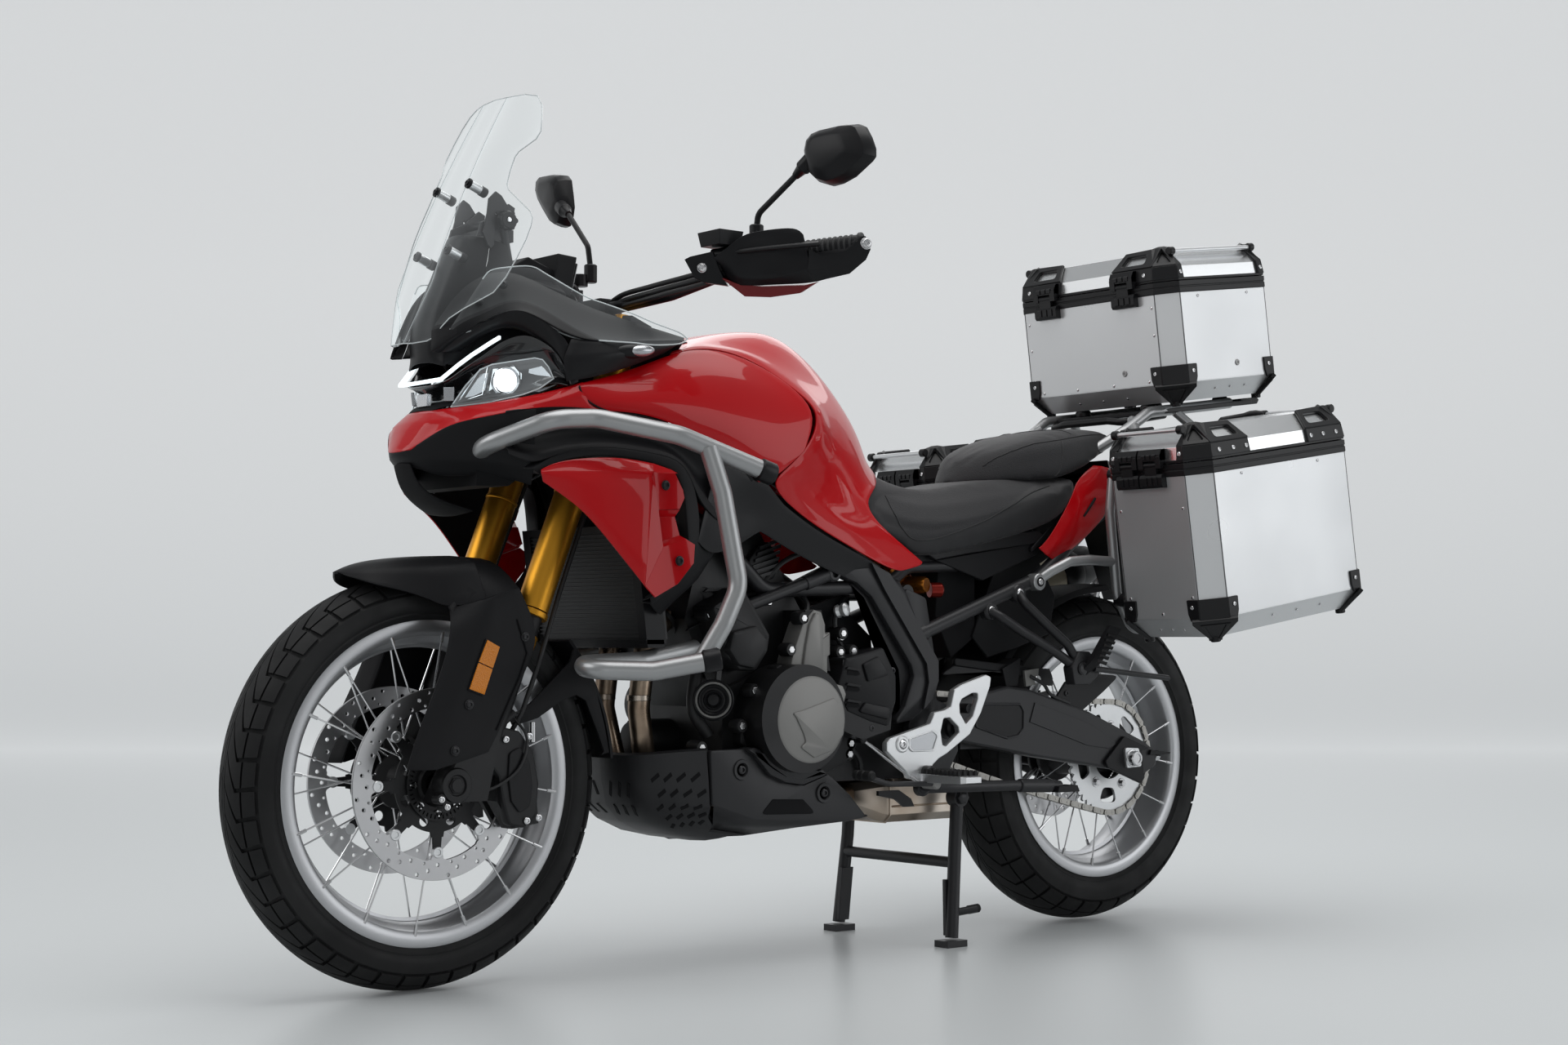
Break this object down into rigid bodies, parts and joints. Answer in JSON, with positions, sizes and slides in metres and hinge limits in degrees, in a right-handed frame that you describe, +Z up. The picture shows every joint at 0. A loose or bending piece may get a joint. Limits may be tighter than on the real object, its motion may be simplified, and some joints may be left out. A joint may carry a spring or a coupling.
{
  "type": "adventure motorcycle with aluminium cases",
  "caption": "Adventure motorcycle on its centre stand with tall screen, crash bars, spoked wheels, two side cases and a top case with opening lids.",
  "frame": {"origin": "on the floor under the middle of the whole box, on the bike's centre plane", "axes": "+X to the rear, -Y to the rider's left, +Z up; the front wheel points along -X"},
  "size_m": [2.2372, 0.988, 1.452],
  "materials": {
    "red_paint": "gloss",
    "black_plastic": "textured",
    "black_metal": "satin",
    "engine_black": "satin",
    "tyre": "matt",
    "wheel_silver": "satin",
    "disc_steel": "brushed",
    "fork_gold": "anodised",
    "bar_silver": "satin",
    "bronze_steel": "heat tinted",
    "clear_screen": "clear",
    "lamp": "clear",
    "case_aluminium": "satin",
    "seat_cover": "grained",
    "chain_steel": "oiled",
    "cast_silver": "satin",
    "hose_rubber": "matt"
  },
  "bodies": {
    "chassis": {"main_frame": "black_metal", "engine": "engine_black", "radiator": "black_metal", "exhaust": "bronze_steel", "skid_plate": "black_plastic", "swingarm": "engine_black", "rear_axle": "cast_silver", "drive_chain": "chain_steel", "rear_shock": "black_metal", "rear_hugger": "black_plastic", "rear_caliper": "engine_black", "footpegs": "cast_silver", "crash_bars": "bar_silver", "fuel_tank": "red_paint", "tank_side_covers": "red_paint", "front_beak": "red_paint", "headlight": "lamp", "upper_fairing": "black_plastic", "inner_fairings": "black_plastic", "windscreen": "clear_screen", "dash_display": "black_plastic", "radiator_shrouds": "red_paint", "rider_seat": "seat_cover", "pillion_seat": "seat_cover", "tail_panels": "red_paint", "tail_light": "black_plastic", "luggage_racks": "bar_silver", "top_case_body": "case_aluminium", "left_case_body": "case_aluminium", "right_case_body": "case_aluminium"},
    "steering": {"fork_tubes": "fork_gold", "fork_legs": "engine_black", "fork_yokes": "engine_black", "handlebar": "black_metal", "handguards": "black_plastic", "mirrors": "black_plastic", "front_fender": "black_plastic", "front_calipers": "engine_black", "brake_hoses": "hose_rubber"},
    "front_wheel": {"front_tyre": "tyre", "front_wheel": "wheel_silver", "front_discs": "disc_steel"},
    "rear_wheel": {"rear_tyre": "tyre", "rear_wheel": "wheel_silver", "rear_sprocket": "cast_silver"},
    "side_stand": {"side_stand": "black_metal"},
    "centre_stand": {"centre_stand": "black_metal"},
    "top_case_lid": {"top_case_lid": "case_aluminium"},
    "left_case_lid": {"left_case_lid": "case_aluminium"},
    "right_case_lid": {"right_case_lid": "case_aluminium"}
  },
  "joints": [
    {"name": "steering_head", "type": "hinge", "parent": "chassis", "child": "steering", "pos_m": [-0.54216, 0, 0.762], "axis": [0.3665, 0, 0.9304], "range_deg": [-35, 35]},
    {"name": "front_wheel_spin", "type": "hinge", "parent": "steering", "child": "front_wheel", "pos_m": [-0.7894, 0, 0.329], "axis": [0, 1, 0], "continuous": true},
    {"name": "rear_wheel_spin", "type": "hinge", "parent": "chassis", "child": "rear_wheel", "pos_m": [0.7166, 0, 0.324], "axis": [0, 1, 0], "continuous": true},
    {"name": "side_stand_pivot", "type": "hinge", "parent": "chassis", "child": "side_stand", "pos_m": [0.1496, -0.171, 0.29], "axis": [0.0739, 0.8043, -0.5897], "range_deg": [0, 106]},
    {"name": "centre_stand_pivot", "type": "hinge", "parent": "chassis", "child": "centre_stand", "pos_m": [0.2536, 0, 0.268], "axis": [0, -1, 0], "range_deg": [0, 80]},
    {"name": "top_case_hinge", "type": "hinge", "parent": "chassis", "child": "top_case_lid", "pos_m": [0.7484, 0, 1.25389], "axis": [0, -1, 0], "range_deg": [0, 80]},
    {"name": "left_case_hinge", "type": "hinge", "parent": "chassis", "child": "left_case_lid", "pos_m": [0.54276, -0.348, 0.8748], "axis": [0, -1, 0], "range_deg": [0, 80]},
    {"name": "right_case_hinge", "type": "hinge", "parent": "chassis", "child": "right_case_lid", "pos_m": [0.54276, 0.348, 0.8748], "axis": [0, -1, 0], "range_deg": [0, 80]}
  ]
}
